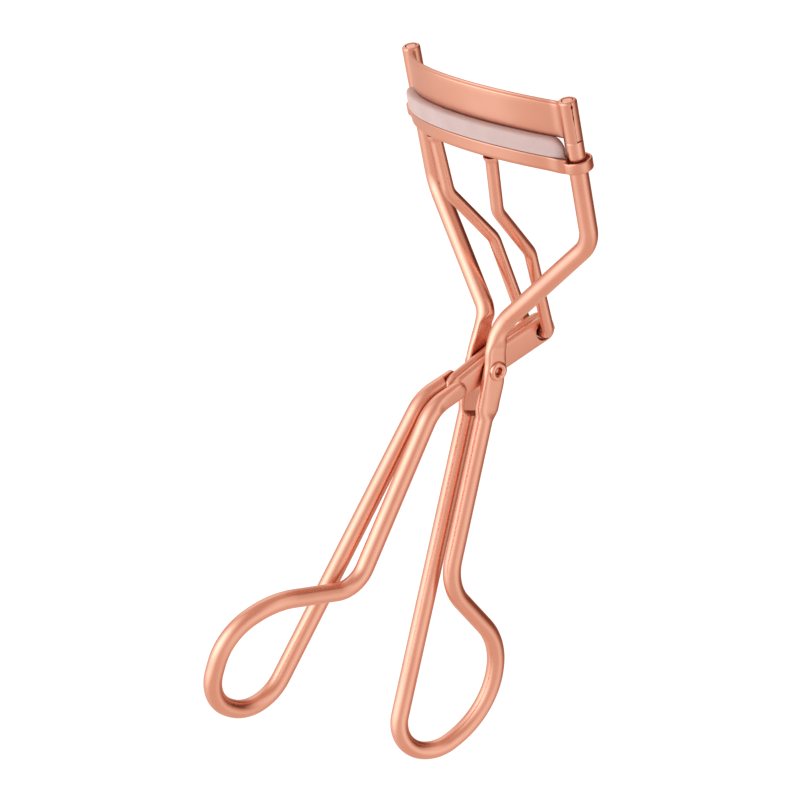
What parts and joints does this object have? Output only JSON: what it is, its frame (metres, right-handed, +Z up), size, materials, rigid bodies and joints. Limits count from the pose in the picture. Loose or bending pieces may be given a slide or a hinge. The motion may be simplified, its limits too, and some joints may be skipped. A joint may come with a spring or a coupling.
{
  "type": "eyelash curler",
  "caption": "Handheld eyelash curler: looped wire handles on a rivet drive a padded lower jaw up guide wires against a curved upper plate.",
  "frame": {"origin": "centre of the bounding box in X and Y, at its lowest point in Z", "axes": "+Z up along the frame handle towards the jaws, X across the jaws, -Y to the bulging front of the jaws"},
  "size_m": [0.0382, 0.0512, 0.1003],
  "materials": {
    "plated_wire": "satin rose-gold plating on bent steel wire",
    "plated_sheet": "satin rose-gold plating on pressed steel strip",
    "plated_rivet": "rose-gold plated rolled rivet",
    "silicone": "satin translucent pinkish-grey silicone"
  },
  "bodies": {
    "frame": {"frame_wire": "plated_wire", "upper_plate": "plated_sheet", "pivot_rivet": "plated_rivet"},
    "lever": {"lever_channel": "plated_sheet", "lever_handle": "plated_wire"},
    "carriage": {"lower_jaw": "plated_sheet", "silicone_pad": "silicone", "pushrod": "plated_wire"}
  },
  "joints": [
    {"name": "lever_pivot", "type": "hinge", "parent": "frame", "child": "lever", "pos_m": [0, 0.01381, 0.05881], "axis": [1, 0, 0], "range_deg": [-28, 0]},
    {"name": "jaw_slide", "type": "slide", "parent": "frame", "child": "carriage", "axis": [0, -0.3987, 0.9171], "range_m": [-0.0048, 0]}
  ],
  "couplings": [
    {"joint": "jaw_slide", "follows": "lever_pivot", "m_per_rad": 0.009743}
  ]
}
